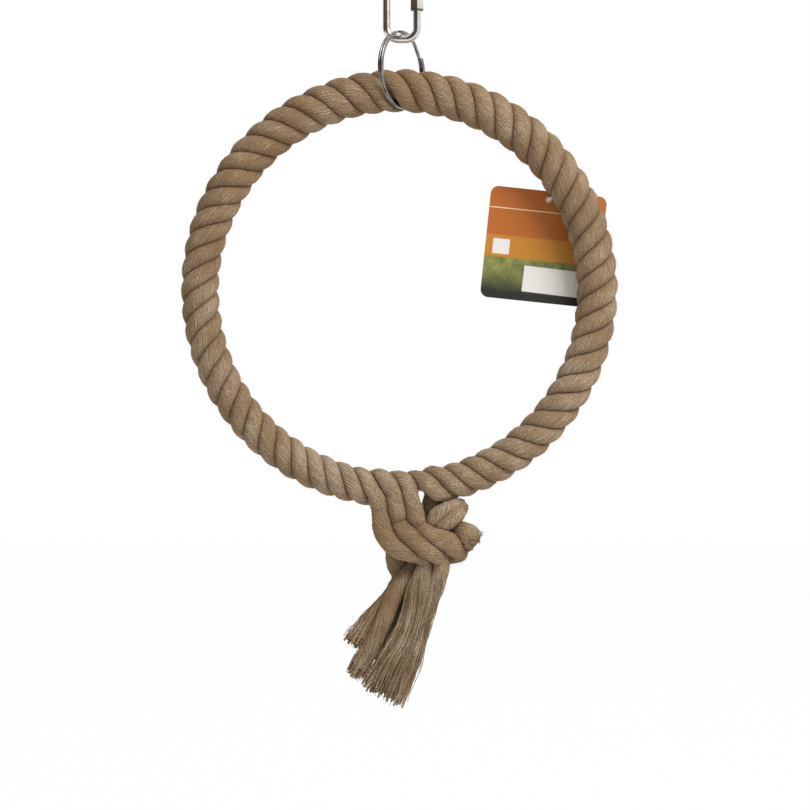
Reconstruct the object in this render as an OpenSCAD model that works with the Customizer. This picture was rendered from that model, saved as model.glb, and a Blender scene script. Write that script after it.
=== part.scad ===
// Rope ring swing for a pet bird. A three-strand rope is laid round a steel hoop, its two
// ends are knotted and frayed at the bottom, and a split ring and a screw-lock link hang it.
// Millimetres, +Z up. The origin is the hang point: the inside top of the link.
// The ring lies in an XZ plane, and its front faces -Y.

/* [Rope ring] */
// Diameter of the ring, to the middle of the rope
ring_d = 250; // [200:1:320]
// Diameter of the rope, over its strands
rope_d = 26; // [25:0.5:28]
// Diameter of the steel hoop inside the rope
hoop_d = 5; // [3:0.5:5]
// Room all round the hoop inside the rope
hoop_clear = 0.5; // [0.3:0.1:0.7]
// Distance from the ring's middle to the left end of the laid rope
left_end = 20; // [19:0.5:22]
// Distance from the ring's middle to the right end of the laid rope
right_end = 30; // [29:0.5:33]
// How far the knot's weight draws the ring to the left of the hang point
ring_shift = 2; // [0:0.5:6]

/* [Knot] */
// Height of the knot and its tails, below the middle of the rope
knot_len = 133; // [133:1:150]
// Diameter of one strand of the rope where it is unlaid
strand_d = 9.4; // [8:0.1:9.4]
// Gap between a strand's start and the end of the laid rope
strand_gap = 0.3; // [0.1:0.1:0.6]
// Length along the rope in which a strand goes once round it
lay_len = 40; // [38:0.5:44]

/* [Split ring] */
// Outside diameter of the split ring
split_d = 50; // [46:1:60]
// Radial width of its flat wire
split_wire_w = 3; // [2:0.1:3.5]
// Thickness of one turn of its flat wire
split_wire_t = 1.5; // [1:0.1:1.8]
// Gap between its two turns
split_turn_gap = 0.5; // [0.45:0.05:0.7]
// Turn of its plane away from fore-and-aft, along the rope's lay
split_turn = 34; // [20:1:40]
// How deep it is pressed into the rope
seat_depth = 3.3; // [2:0.1:4]
// Room round its wire in the rope's groove
seat_clear = 0.7; // [0.5:0.1:1]
// Width of the groove that it rocks in
seat_w = 8.8; // [7.4:0.1:10]

/* [Quick link] */
// Overall length of the link
link_len = 52; // [48:1:64]
// Overall width of the link
link_w = 24; // [22:1:30]
// Diameter of the link's wire
link_wire = 5; // [4:0.5:6]
// Length of the straight part of each bow
bow_flat = 4; // [2:0.5:6]
// Gap between the link's lower bow and what hangs on it
hang_clear = 0.3; // [0.2:0.1:0.5]
// Width of the link's opening
gate_gap = 6; // [4:0.5:7]
// Length of thread that the closed nut has on the lower end
gate_grip = 3; // [2:0.5:4]
// Height of the closed nut above the link's lowest point
nut_rise = 20.6; // [19:0.1:22]
// Length of the nut
nut_len = 11; // [9:0.5:12]
// Nut size across its flats
nut_flats = 8; // [7.5:0.5:9]
// Radial room between the nut and the link's wire
nut_clear = 0.08; // [0.05:0.01:0.1]

/* [Hang tag] */
// Width of the card
tag_w = 74; // [50:1:90]
// Height of the card
tag_h = 71; // [50:1:90]
// Thickness of the card
tag_t = 0.6; // [0.4:0.1:1.5]
// Radius of the card's corners
tag_corner = 5; // [2:0.5:10]
// Diameter of the card's hole
tag_hole = 4; // [3:0.5:6]
// Distance from the card's top edge to the middle of its hole
tag_hole_drop = 5.5; // [4:0.5:10]
// Lean of the hanging card, clockwise from the front
tag_lean = 6; // [0:1:15]
// Place of the hole round the ring, clockwise from the top
tag_place = 59; // [40:1:80]
// Distance from the rope's inner edge to the middle of the hole
tag_inset = 1; // [0:0.5:4]
// Gap between the rope's back and the card
tag_gap = 1.2; // [0.8:0.1:3]

/* [Tag pin] */
// Diameter of the pin's filament
pin_d = 1.2; // [0.8:0.1:2]
// Diameter of the pin's head
pin_head = 7; // [5:0.5:10]
// Thickness of the pin's head
pin_head_t = 0.8; // [0.5:0.1:1.5]
// Gap between the head and the card
pin_head_gap = 0.3; // [0.2:0.1:0.6]
// Length of the bar that holds the pin in the rope
bar_len = 9; // [6:0.5:12]
// Diameter of that bar
bar_d = 1.6; // [1:0.1:2.4]
// Depth of the bar below the rope's surface
bar_depth = 5; // [3:0.5:6]

/* [Hidden] */
$fn = 64;

rope_colour = "#a88c66";
dark_rope_colour = "#8f7653";
steel_colour = "#c9cbcf";
card_colour = "#d9731f";
nylon_colour = "#e8e6df";

// Link, measured down its middle line
leg_x = (link_w - link_wire) / 2;
bow_r = leg_x - bow_flat / 2;
bow_top_z = link_wire / 2;
bow_bottom_z = bow_top_z - (link_len - link_wire);
bow_inside_z = bow_bottom_z + link_wire / 2;
nut_z = bow_bottom_z - link_wire / 2 + nut_rise;
gate_low_z = nut_z + gate_grip;
gate_high_z = gate_low_z + gate_gap;

// Split ring, hung on the lower bow
split_r = split_d / 2 - split_wire_w / 2;
split_pitch = split_wire_t + split_turn_gap;
split_inside_r = split_d / 2 - split_wire_w;
split_z = bow_inside_z + hang_clear - split_inside_r;

// Ring, hung in the split ring
ring_r = ring_d / 2;
rope_low_z = split_z - split_inside_r - seat_depth;
ring_z = rope_low_z + rope_d / 2 - ring_r;
knot_z = ring_z - ring_r;
left_angle = 270 - asin(left_end / ring_r);
right_angle = asin(right_end / ring_r) - 90;
lay_r = hoop_d / 2 + hoop_clear + strand_d / 2;
lay_lead = 4;

// Card and pin
tag_y = rope_d / 2 + tag_gap;
hole_r = ring_r - rope_d / 2 - tag_inset;
pin_bend_y = rope_d / 2 - pin_d;
bar_reach = rope_d / 2 - bar_depth;
bar_lean = 40;

// Middle of the laid rope at a distance along it from one end, towards the knot, as the angle
// from the ring's lowest point. side is -1 at the left end and 1 at the right end.
function lay_angle(side, end, along) = side * (asin(end / ring_r) - along / ring_r * 180 / PI);

// Point of a strand in the lay. phase is its place at the rope's end, from the top to the front.
function lay_point(side, end, phase, along) =
    let (a = lay_angle(side, end, along), f = phase - side * 360 * along / lay_len)
    ring_r * [sin(a), 0, 1 - cos(a)] + lay_r * [-sin(a) * cos(f), -sin(f), cos(a) * cos(f)];

function lay_start(side, end, phase) =
    [for (along = [-lay_lead, 0, lay_lead]) lay_point(side, end, phase, along)];

// Points of the knot, drawn for one height of it and brought to the height that is set
drawn_knot_len = 133;
function knot_points(points) = points * knot_len / drawn_knot_len;

// Middle lines of the six strand ends, from the laid rope through the knot to the tail.
// Each is measured from the lowest point of the ring's middle line.
left_front_line = concat(lay_start(-1, left_end, 60), knot_points([
    [-14, -8.2, -3.6], [-12.3, -8.6, -8], [-11.4, -7.8, -13], [-11.5, -7.6, -19],
    [-11.2, -8.6, -25], [-7.6, -10, -33.5], [0, -11.5, -40.8], [8, -10, -46.2],
    [12.6, -7.5, -53], [12.8, -6.2, -60], [10.4, -5.6, -70], [6, -5, -84], [0.5, -4.5, -98],
    [-6, -4, -111], [-11, -4, -122]
]));
left_middle_line = concat(lay_start(-1, left_end, 300), knot_points([
    [-12.5, -0.8, 8.8], [-9, -4.8, 7.5], [-6, -7.6, 3.5], [-3.3, -8.5, -3], [-1.4, -8.2, -10],
    [-0.4, -7.4, -17], [1, -8.8, -24], [6, -12, -31.2], [13.2, -13, -38.4], [22, -10.8, -43.8],
    [26.8, -7.5, -50], [25.6, -4.6, -58], [21.2, -3.4, -70], [16.6, -3, -84], [12, -3, -98],
    [7.6, -3, -112], [-0.5, -3, -133]
]));
left_back_line = concat(lay_start(-1, left_end, 180), knot_points([
    [-12.5, 7.4, -2], [-9, 7.9, 1.5], [-4, 4.9, 6.9], [0, -0.5, 8.2], [3.2, -4.6, 7.2],
    [6.2, -7.5, 2.4], [8.2, -8, -6], [9.8, -7.4, -13], [11, -6.8, -19.5], [13.6, -8, -25.8],
    [20, -10.6, -30.6], [28, -11.6, -34], [35, -9, -37.6], [38.6, -3, -40.4], [37, 4, -42],
    [31, 9.8, -43.4], [22, 14.2, -45], [13.4, 12.6, -48.5], [7.5, 7, -52.5], [3.2, 2, -58.5],
    [-2.2, 0, -66.5], [-7, 0, -78], [-13, 0, -91], [-20, -1, -103], [-29, -2, -112]
]));
right_front_line = concat(lay_start(1, right_end, 180), knot_points([
    [23.5, -7, -1.4], [20.3, -7.9, 2], [16, -6.5, 6.2], [11.4, -0.2, 9], [7.7, 6.8, 5.6],
    [7, 11, -3], [6.5, 13.2, -12], [3.5, 14, -22], [0, 14.2, -32], [-2, 13.8, -43],
    [-0.6, 13, -52], [0, 12, -60], [-5, 10.4, -68.5], [-14, 8.4, -78], [-24, 5.5, -88],
    [-31, 3, -94]
]));
right_top_line = concat(lay_start(1, right_end, 60), knot_points([
    [23, -0.8, 10.8], [20, 4, 10.4], [17.6, 10.2, 7], [18, 15, 0.6], [20.6, 17.4, -8],
    [21.4, 17.6, -17], [28, 13.4, -26], [36.4, 4, -29.4], [42.5, -3, -30.2], [48.5, -5.6, -32.8]
]));
right_back_line = concat(lay_start(1, right_end, 300), knot_points([
    [24, 7.6, -3], [22.8, 6.6, -8], [24, 6.4, -13.4], [28.2, 7.4, -16.4], [33, 6.6, -16.6],
    [36.6, 2.6, -15.2], [36.4, -3.6, -14.6], [32.4, -7.6, -16.8], [26.4, -6.8, -20.8],
    [22, -0.6, -27], [21.6, 3, -37], [20.6, 4.6, -47], [17.5, 6, -57], [11.5, 7.5, -66],
    [6, 8, -76], [1, 8, -87], [-4, 7.5, -100], [-7.5, 7, -114], [-9, 6.5, -130]
]));
steps_per_span = 3;
strand_sides = 8;

// Flat wire of the split ring: two turns that change planes in a short crossing
turn_rings = 36;
crossing = 40;
wire_chamfer = 0.35;

function unit(v) = v / norm(v);

// Point on the smooth curve through the points p, with t counted in spans
function curve_point(p, t) =
    let (i = min(floor(t), len(p) - 2), u = t - i)
    let (a = p[max(i - 1, 0)], b = p[i], c = p[i + 1], d = p[min(i + 2, len(p) - 1)])
    (2 * b + (c - a) * u + (2 * a - 5 * b + 4 * c - d) * u * u
        + (3 * b - a - 3 * c + d) * u * u * u) / 2;

function curve(p, steps) =
    let (spans = len(p) - 1)
    [for (k = [0 : spans * steps]) curve_point(p, k / steps)];

function tangent(path, i) = unit(path[min(i + 1, len(path) - 1)] - path[max(i - 1, 0)]);

// Sideways direction of each ring, carried along the path without twist
function carried(side, along) = unit(side - (side * along) * along);
function sides_along(path) =
    [for (i = 0, s = carried([0.3, 1, 0.2], tangent(path, 0)); i < len(path);
        i = i + 1, s = carried(s, tangent(path, min(i, len(path) - 1)))) s];

function tube_rings(path, d, sides) =
    let (across = sides_along(path))
    [for (i = [0 : len(path) - 1])
        let (up = cross(tangent(path, i), across[i]))
        [for (j = [0 : sides - 1])
            let (a = 360 * j / sides)
            path[i] + d / 2 * (cos(a) * across[i] + sin(a) * up)]];

// Section of the split ring's wire: radial and axial offsets of its eight corners
function wire_section() =
    let (w = split_wire_w / 2, t = split_wire_t / 2, c = wire_chamfer)
    [[w, t - c], [w - c, t], [c - w, t], [-w, t - c], [-w, c - t], [c - w, -t], [w - c, -t], [w, c - t]];

// Axial place of the wire at a winding angle from 0 to 720
function turn_level(a) =
    let (u = min(max((a - 360) / crossing + 0.5, 0), 1))
    split_pitch * (u * u * (3 - 2 * u) - 0.5);

function wire_rings() =
    let (first = crossing / 2 + 360 / turn_rings, last = 720 - first)
    let (count = ceil((last - first) * turn_rings / 360))
    [for (i = [0 : count])
        let (a = first + (last - first) * i / count)
        [for (p = wire_section())
            [(split_r + p[0]) * cos(a), (split_r + p[0]) * sin(a), turn_level(a) + p[1]]]];

// Least gap between the two turns, measured between their corner points
function least_gap(rings) =
    let (half = floor(turn_rings / 2), n = len(rings))
    min([for (i = [0 : n - 1 - half]) for (j = [i + half : n - 1])
        min([for (p = rings[i]) for (q = rings[j]) norm(p - q)])]);

// Closed skin of triangles over a list of rings
module skin(rings) {
    n = len(rings);
    m = len(rings[0]);
    points = [for (r = rings) for (p = r) p];
    walls = [for (i = [0 : n - 2]) for (j = [0 : m - 1])
        let (k = (j + 1) % m)
        each [[i * m + j, (i + 1) * m + j, (i + 1) * m + k], [i * m + j, (i + 1) * m + k, i * m + k]]];
    caps = [for (j = [1 : m - 2])
        each [[0, j, j + 1], [(n - 1) * m, (n - 1) * m + j + 1, (n - 1) * m + j]]];
    polyhedron(points = points, faces = concat(walls, caps));
}

// Wire of the link from one height to another
module leg(x, low, high) {
    translate([x, 0, low]) cylinder(d = link_wire, h = high - low);
}

// One bow of the link: two quarter bends and the straight part between them
module bow(z, up) {
    translate([0, 0, z]) mirror([0, 0, up ? 0 : 1]) {
        translate([-bow_flat / 2, 0, 0]) rotate([0, 90, 0]) cylinder(d = link_wire, h = bow_flat);
        for (side = [0, 1]) mirror([side, 0, 0])
            translate([bow_flat / 2, 0, -bow_r]) rotate([90, 0, 0])
                rotate_extrude(angle = 90) translate([bow_r, 0]) circle(d = link_wire);
    }
}

module quick_link() {
    color(steel_colour) {
        bow(bow_top_z, true);
        bow(bow_bottom_z, false);
        leg(-leg_x, bow_bottom_z + bow_r, bow_top_z - bow_r);
        leg(leg_x, bow_bottom_z + bow_r, gate_low_z);
        leg(leg_x, gate_high_z, bow_top_z - bow_r);
    }
}

module link_nut() {
    corner_d = nut_flats / cos(30);
    color(steel_colour) translate([leg_x, 0, nut_z]) difference() {
        cylinder(d = corner_d, h = nut_len, $fn = 6);
        translate([0, 0, -1]) cylinder(d = link_wire + 2 * nut_clear, h = nut_len + 2);
    }
}

// Puts what is drawn round Z into the split ring's place
module in_split_ring() {
    translate([0, 0, split_z]) rotate([0, 0, 90 - split_turn]) rotate([90, 0, 0]) children();
}

module split_ring() {
    color(steel_colour) in_split_ring() skin(wire_rings());
}

// Puts what is drawn round Z into the ring's place, with angles from +X towards +Z
module in_ring() {
    translate([-ring_shift, 0, ring_z]) rotate([90, 0, 0]) children();
}

module core_hoop() {
    color(steel_colour) in_ring() rotate_extrude() translate([ring_r, 0]) circle(d = hoop_d);
}

// Room that the split ring's wire takes in the rope
module split_seat() {
    in_split_ring() rotate_extrude()
        translate([split_inside_r - seat_clear, -seat_w / 2])
            square([split_wire_w + 2 * seat_clear, seat_w]);
}

module rope_ring() {
    color(rope_colour) difference() {
        in_ring() rotate([0, 0, right_angle]) rotate_extrude(angle = left_angle - right_angle)
            translate([ring_r, 0]) difference() {
                circle(d = rope_d);
                circle(d = hoop_d + 2 * hoop_clear);
            }
        split_seat();
    }
}

// Puts what is drawn up Z against one end of the laid rope, with Z into the rope
module at_rope_end(side, end) {
    a = lay_angle(side, end, 0);
    translate([ring_r * sin(a), 0, ring_r * (1 - cos(a))]) rotate([0, side * 90 - a, 0]) children();
}

// One strand end, cut square where the laid rope begins
module strand(line, side, end, shade) {
    color(shade) translate([-ring_shift, 0, knot_z]) difference() {
        skin(tube_rings(curve(line, steps_per_span), strand_d, strand_sides));
        at_rope_end(side, end) translate([0, 0, -strand_gap]) cylinder(d = rope_d + 1, h = rope_d);
    }
}

module left_front_strand() { strand(left_front_line, -1, left_end, rope_colour); }
module left_middle_strand() { strand(left_middle_line, -1, left_end, rope_colour); }
module left_back_strand() { strand(left_back_line, -1, left_end, dark_rope_colour); }
module right_front_strand() { strand(right_front_line, 1, right_end, rope_colour); }
module right_top_strand() { strand(right_top_line, 1, right_end, dark_rope_colour); }
module right_back_strand() { strand(right_back_line, 1, right_end, dark_rope_colour); }

// Puts what is drawn at the card's hole, with Y through the card, into its place
module at_hole() {
    translate([hole_r * sin(tag_place) - ring_shift, 0, ring_z + hole_r * cos(tag_place)]) children();
}

module card_outline() {
    inner_w = tag_w - 2 * tag_corner;
    inner_h = tag_h - 2 * tag_corner;
    translate([-tag_w / 2, tag_hole_drop - tag_h]) {
        translate([tag_corner, 0]) square([inner_w, tag_h]);
        translate([0, tag_corner]) square([tag_w, inner_h]);
        for (x = [tag_corner, tag_w - tag_corner]) for (z = [tag_corner, tag_h - tag_corner])
            translate([x, z]) circle(r = tag_corner);
    }
}

module hang_tag() {
    color(card_colour) at_hole() translate([0, tag_y + tag_t, 0]) rotate([90, tag_lean, 0])
        linear_extrude(tag_t) difference() {
            card_outline();
            circle(d = tag_hole);
        }
}

module tag_pin() {
    head_y = tag_y + tag_t + pin_head_gap;
    bar_r = ring_r - bar_reach * cos(bar_lean) - hole_r;
    bar_y = bar_reach * sin(bar_lean);
    thread_len = norm([bar_r, pin_bend_y - bar_y]);
    thread_turn = atan2(bar_r, pin_bend_y - bar_y);
    color(nylon_colour) at_hole() {
        translate([0, head_y + pin_head_t, 0]) rotate([90, 0, 0]) cylinder(d = pin_head, h = pin_head_t);
        translate([0, head_y + pin_head_t / 2, 0]) rotate([90, 0, 0])
            cylinder(d = pin_d, h = head_y + pin_head_t / 2 - pin_bend_y);
        rotate([0, tag_place - 90, 0]) translate([0, pin_bend_y, 0]) {
            sphere(d = pin_d);
            rotate([0, 0, thread_turn]) rotate([90, 0, 0]) cylinder(d = pin_d, h = thread_len);
            translate([bar_r, bar_y - pin_bend_y, -bar_len / 2]) cylinder(d = bar_d, h = bar_len);
        }
    }
}

echo(least_gap_between_split_ring_turns = least_gap(wire_rings()));

quick_link();
link_nut();
split_ring();
core_hoop();
rope_ring();
left_front_strand();
left_middle_strand();
left_back_strand();
right_front_strand();
right_top_strand();
right_back_strand();
hang_tag();
tag_pin();
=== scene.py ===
# %% [markdown]
# # A rope ring swing for a pet bird
# Three strands of natural fibre are laid round a steel hoop. Their six ends are knotted under
# the ring and left to fray. A split ring and a screw-lock link hang the swing, and a blank
# card tag is pinned to the rope. The solids of the construction model are loaded first, and
# every piece made here rides on one of its bodies. Sizes of rope, steel and card are typed in
# millimetres, and MM turns them into Blender's metres. The studio's sizes are typed in metres.

# %% Load the construction model
import math
from functools import partialmethod

import bmesh
import bpy
import numpy as np
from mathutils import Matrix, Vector
from mathutils.kdtree import KDTree


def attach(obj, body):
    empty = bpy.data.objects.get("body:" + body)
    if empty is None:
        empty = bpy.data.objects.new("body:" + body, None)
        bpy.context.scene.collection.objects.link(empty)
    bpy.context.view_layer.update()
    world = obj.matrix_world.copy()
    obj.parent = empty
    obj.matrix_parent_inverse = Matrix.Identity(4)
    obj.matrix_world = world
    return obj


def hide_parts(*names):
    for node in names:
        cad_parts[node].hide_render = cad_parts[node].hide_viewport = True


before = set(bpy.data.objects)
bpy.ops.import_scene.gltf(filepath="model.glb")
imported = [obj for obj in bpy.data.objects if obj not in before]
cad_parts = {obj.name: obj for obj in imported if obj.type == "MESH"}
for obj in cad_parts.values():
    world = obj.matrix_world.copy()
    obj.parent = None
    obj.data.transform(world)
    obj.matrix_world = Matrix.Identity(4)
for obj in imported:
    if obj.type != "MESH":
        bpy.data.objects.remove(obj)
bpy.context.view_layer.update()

MM = 0.001


def add_object(name, data):
    """A new object at the origin, in the scene."""
    made = bpy.data.objects.new(name, data)
    bpy.context.scene.collection.objects.link(made)
    return made


# %% [markdown]
# ## The view
# The picture is square, taken from straight in front, at a height between the ring's middle and
# the knot. The link's upper half stands above the picture's edge. A long lens keeps the ring
# round, and the camera looks along +Y, so the picture's right is +X.

# %% Camera
PICTURE_MIDDLE = Vector((2.0, 0.0, -274.1)) * MM
PICTURE_WIDTH = 508.8 * MM
CAMERA_DISTANCE = 1300.0 * MM
SENSOR = 36.0

lens_data = bpy.data.cameras.new("front_view")
lens_data.sensor_width = SENSOR
lens_data.lens = SENSOR * CAMERA_DISTANCE / PICTURE_WIDTH
lens_data.clip_end = 20.0
camera = add_object("front_view", lens_data)
camera.location = PICTURE_MIDDLE + Vector((0.0, -CAMERA_DISTANCE, 0.0))
camera.rotation_euler = (math.radians(90), 0.0, 0.0)
bpy.context.scene.camera = camera
bpy.context.scene.view_settings.view_transform = "Standard"
print("lens:", round(lens_data.lens, 1), "mm")

# %% [markdown]
# ## Node helpers
# Shader trees and geometry trees are both built from code. This small class adds a node, sets
# what it is given and links what is a socket, so that each tree reads as a list of steps.


# %% A small tree builder
class Tree:
    def __init__(self, tree):
        self.tree = tree

    def put(self, socket, value):
        if isinstance(value, bpy.types.NodeSocket):
            self.tree.links.new(value, socket)
        else:
            socket.default_value = value

    def add(self, kind, inputs=None, **settings):
        """A new node. An input is named by its label, or by its number where labels repeat."""
        node = self.tree.nodes.new(kind)
        for key, value in settings.items():
            setattr(node, key, value)
        for key, value in (inputs or {}).items():
            named = [s for s in node.inputs if s.name == key and s.enabled]
            self.put(named[0] if named else node.inputs[key], value)
        return node

    def step(self, kind, inputs=None, **settings):
        """The first live output of a new node."""
        return [s for s in self.add(kind, inputs, **settings).outputs if s.enabled][0]

    def geo(self, kind, inputs=None, **settings):
        return self.step("GeometryNode" + kind, inputs, **settings)

    def math(self, operation, *values):
        return self.step("ShaderNodeMath", dict(enumerate(values)), operation=operation)

    def vector(self, operation, *values):
        return self.step("ShaderNodeVectorMath", dict(enumerate(values)), operation=operation)

    plus = partialmethod(math, "ADD")
    minus = partialmethod(math, "SUBTRACT")
    times = partialmethod(math, "MULTIPLY")
    times_plus = partialmethod(math, "MULTIPLY_ADD")
    over = partialmethod(math, "DIVIDE")
    cosine = partialmethod(math, "COSINE")
    sine = partialmethod(math, "SINE")
    above = partialmethod(math, "GREATER_THAN")
    larger = partialmethod(math, "MAXIMUM")

    def square(self, value):
        return self.math("POWER", value, 2.0)

    def stretch(self, vector, amount):
        return self.step("ShaderNodeVectorMath", {"Vector": vector, "Scale": amount}, operation="SCALE")

    def noise(self, vector, scale, detail=2.0, rough=0.5, output="Fac"):
        inputs = {"Vector": vector, "Scale": scale, "Detail": detail, "Roughness": rough}
        return self.add("ShaderNodeTexNoise", inputs).outputs[output]

    def attribute(self, name, output="Fac"):
        return self.add("ShaderNodeAttribute", attribute_name=name).outputs[output]

    def object_place(self):
        return self.add("ShaderNodeTexCoord").outputs["Object"]

    def axes(self, vector):
        return self.add("ShaderNodeSeparateXYZ", {"Vector": vector}).outputs

    def change(self, value, low, high):
        """A factor that goes from 0 at low to 1 at high, which may be the smaller of the two."""
        return self.step("ShaderNodeMapRange", {"Value": value, "From Min": low, "From Max": high})

    def bump(self, height, strength, distance):
        inputs = {"Height": height, "Strength": strength, "Distance": distance}
        return self.step("ShaderNodeBump", inputs)

    def ramp(self, factor, stops):
        node = self.add("ShaderNodeValToRGB", {"Fac": factor})
        elements = node.color_ramp.elements
        while len(elements) < len(stops):
            elements.new(0.5)
        for element, (place, colour) in zip(elements, stops):
            element.position = place
            element.color = (*colour, 1.0)
        return node.outputs["Color"]

    def mix(self, factor, *colours):
        first, second = [c if isinstance(c, bpy.types.NodeSocket) else (*c, 1.0) for c in colours]
        return self.step("ShaderNodeMix", {"Factor": factor, "A": first, "B": second}, data_type="RGBA")


def linear(red, green, blue):
    """A colour as a picture editor shows it (0 to 255), as the linear values a shader takes."""
    values = [c / 255.0 for c in (red, green, blue)]
    return tuple(c / 12.92 if c <= 0.04045 else ((c + 0.055) / 1.055) ** 2.4 for c in values)


def bare_tree(owner):
    """The builder of a material's or a world's own tree, emptied."""
    owner.use_nodes = True
    owner.node_tree.nodes.clear()
    return Tree(owner.node_tree)


def new_material(name):
    material = bpy.data.materials.new(name)
    tree = bare_tree(material)
    shader = tree.add("ShaderNodeBsdfPrincipled")
    tree.add("ShaderNodeOutputMaterial", {"Surface": shader.outputs["BSDF"]}, is_active_output=True)
    return material, tree, shader


def finish_shader(tree, shader, values):
    for key, value in values.items():
        tree.put(shader.inputs[key], value)


def shader_group(name, inputs, outputs):
    """An empty group of number sockets, with its builder and its inputs."""
    group = bpy.data.node_groups.new(name, "ShaderNodeTree")
    for side, labels in (("INPUT", inputs), ("OUTPUT", outputs)):
        for label in labels:
            group.interface.new_socket(label, in_out=side, socket_type="NodeSocketFloat")
    tree = Tree(group)
    return group, tree, tree.add("NodeGroupInput").outputs


def paint(node_name, material):
    """Gives a solid that is carried over its finish."""
    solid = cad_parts[node_name]
    solid.data.materials.clear()
    solid.data.materials.append(material)
    print(node_name, "is finished in", material.name)


print("tree builder ready")

# %% [markdown]
# ## Rope fibre
# Jute is a dull tan bast fibre. Along a yarn the tone changes in fine streaks, and some lengths of
# strand are paler than others. Shade is painted in as well: the valleys between yarns and the
# creases where two strands meet are painted darker and browner, and the ring is painted lighter
# towards its foot and darker at its top, as painted light from below. The material reads four
# attributes of a mesh: `fibre`, a point's place in the strand as if it were pulled straight, one
# that is 1 in the valleys between yarns, one that is 1 where two strands meet, and one that grows
# from the top to the foot of the ring. The streaks follow `fibre`, so they turn with the yarns,
# and larger patches follow the object's own coordinates.

# %% Fibre streaks, shared by the rope's materials
HAIR_FINENESS = 2.6
HAIR_HEIGHT, FUZZ_HEIGHT = 0.5, 0.7

streaks, t, given = shader_group(
    "fibre_streaks", ("Streak Size", "Streak Length", "Patch Size", "Fuzz Size"),
    ("Streak", "Patch", "Fuzz", "Height"))
squeeze = t.step("ShaderNodeCombineXYZ", {"X": 1.0, "Y": 1.0, "Z": given["Streak Length"]})
drawn_out = t.vector("MULTIPLY", t.attribute("fibre", "Vector"), squeeze)
fine = t.noise(drawn_out, given["Streak Size"], detail=3.0, rough=0.6)
broad = t.noise(t.object_place(), given["Patch Size"])
fuzz = t.noise(t.object_place(), given["Fuzz Size"], rough=0.7)
hair = t.noise(drawn_out, t.times(given["Streak Size"], HAIR_FINENESS))
height = t.plus(t.times_plus(hair, HAIR_HEIGHT, fine), t.times(fuzz, FUZZ_HEIGHT))
t.add("NodeGroupOutput", {"Streak": fine, "Patch": broad, "Fuzz": fuzz, "Height": height})
print("shared shader group:", streaks.name)

# %% Rope material
# Colour of the painted shade in the valleys between yarns and in the creases between strands.
ROPE_SHADE = linear(92, 52, 20)
ROPE_TONES = [(0.37, linear(122, 91, 58)), (0.54, linear(145, 122, 94)), (0.665, linear(186, 168, 145))]
ROPE_SIZES = {"Streak Length": 0.12, "Patch Size": 34.0, "Fuzz Size": 1000.0}
PATCH_SHARE, STREAK_SHARE, FUZZ_SHARE = 0.3, 0.35, 0.43
# How strongly the painted light from below lightens the ring's foot.
UNDERLIGHT_SHARE = 0.035
# How strongly the creases between strands are painted darker: painted shade.
CREASE_SHADE_SHARE = 0.45
# How strongly the valleys between yarns are painted darker: painted shade.
GROOVE_SHADE_SHARE = 0.3


def rope_material(name, streak_size, groove_share):
    material, tree, shader = new_material(name)
    group = tree.add("ShaderNodeGroup", {"Streak Size": streak_size, **ROPE_SIZES}, node_tree=streaks)
    streak = group.outputs["Streak"]
    blend = tree.times_plus(group.outputs["Patch"], PATCH_SHARE, tree.times(streak, STREAK_SHARE))
    blend = tree.times_plus(group.outputs["Fuzz"], FUZZ_SHARE, blend)
    # The ring's tone is lifted towards its foot and lowered at its top: painted light from below.
    tone = tree.ramp(tree.times_plus(tree.attribute("painted_underlight"), UNDERLIGHT_SHARE, blend), ROPE_TONES)
    # Where two strands meet, the tone is painted darker and browner: painted shade in the creases.
    crease_shaded = tree.mix(tree.times(tree.attribute("crease_shade"), CREASE_SHADE_SHARE), tone, ROPE_SHADE)
    # The valleys between yarns are painted darker too: painted shade.
    depth = tree.times(tree.square(tree.attribute("groove")), groove_share)
    finish_shader(tree, shader, {
        "Base Color": tree.mix(depth, crease_shaded, ROPE_SHADE),
        "Roughness": tree.times_plus(streak, 0.15, 0.75),
        "Normal": tree.bump(group.outputs["Height"], 0.7, 0.5 * MM),
        "Sheen Weight": 0.12, "Sheen Roughness": 0.5, "Sheen Tint": (0.9, 0.72, 0.5, 1.0),
        "Specular IOR Level": 0.2})
    return material


rope_finish = rope_material("rope_fibre", 1.3, GROOVE_SHADE_SHARE)
tail_finish = rope_material("frayed_fibre", 1.9, GROOVE_SHADE_SHARE)
print("rope materials:", rope_finish.name, tail_finish.name)

# %% [markdown]
# ## Where the strands run
# On the ring a strand goes round the hoop as it goes round the ring. Counting the grooves that
# cross the ring's outer edge gives how far it has turned: each groove is a third of a turn. The
# count is a little closer on the left than at the top, as it is on a rope laid by hand. Below
# the ring each end follows its own points through the knot, on or near the route of its solid,
# measured from the lowest point of the ring's middle line. A point may add the strand's half
# width as seen from the front, its half depth, and the depth of a cleft along its front, where
# the knot has pressed the strand flat.

# %% Routes of the strands
RING_MIDDLE = np.array((-2.0, 0.0, -201.0))
RING_R = 125.0
KNOT = RING_MIDDLE - np.array((0.0, 0.0, RING_R))
LAY_R = 7.05
GIRTH_ANGLES = [0, 45, 100, 130, 165, 200, 235, 275, 300, 335, 360]
GIRTH_SHARES = [1.06, 1.05, 1.01, 0.96, 0.91, 0.91, 0.94, 0.94, 1.0, 1.05, 1.06]
SAG_EVEN, SAG_DOWN, SAG_SIDES = 0.2, 0.9, 0.5
STRAND_R = 5.6
LEFT_END, RIGHT_END, ANGLE_STEP = 187.4, 527.9, 1.2
GROOVE_TURN, FIRST_TURN = 120, 60
GROOVE_ANGLES = [185.0, 189.2, 202.6, 260.1, 314.2, 345.7, 371.2, 403.0, 451.8, 518.2, 526.1, 530.0]
GROOVE_COUNTS = [-3.28, -2.5, 0, 10, 19, 24, 28, 33, 41, 52, 53.5, 54.24]
STEP = 1.1
FINE_PER_MM = 6

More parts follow.
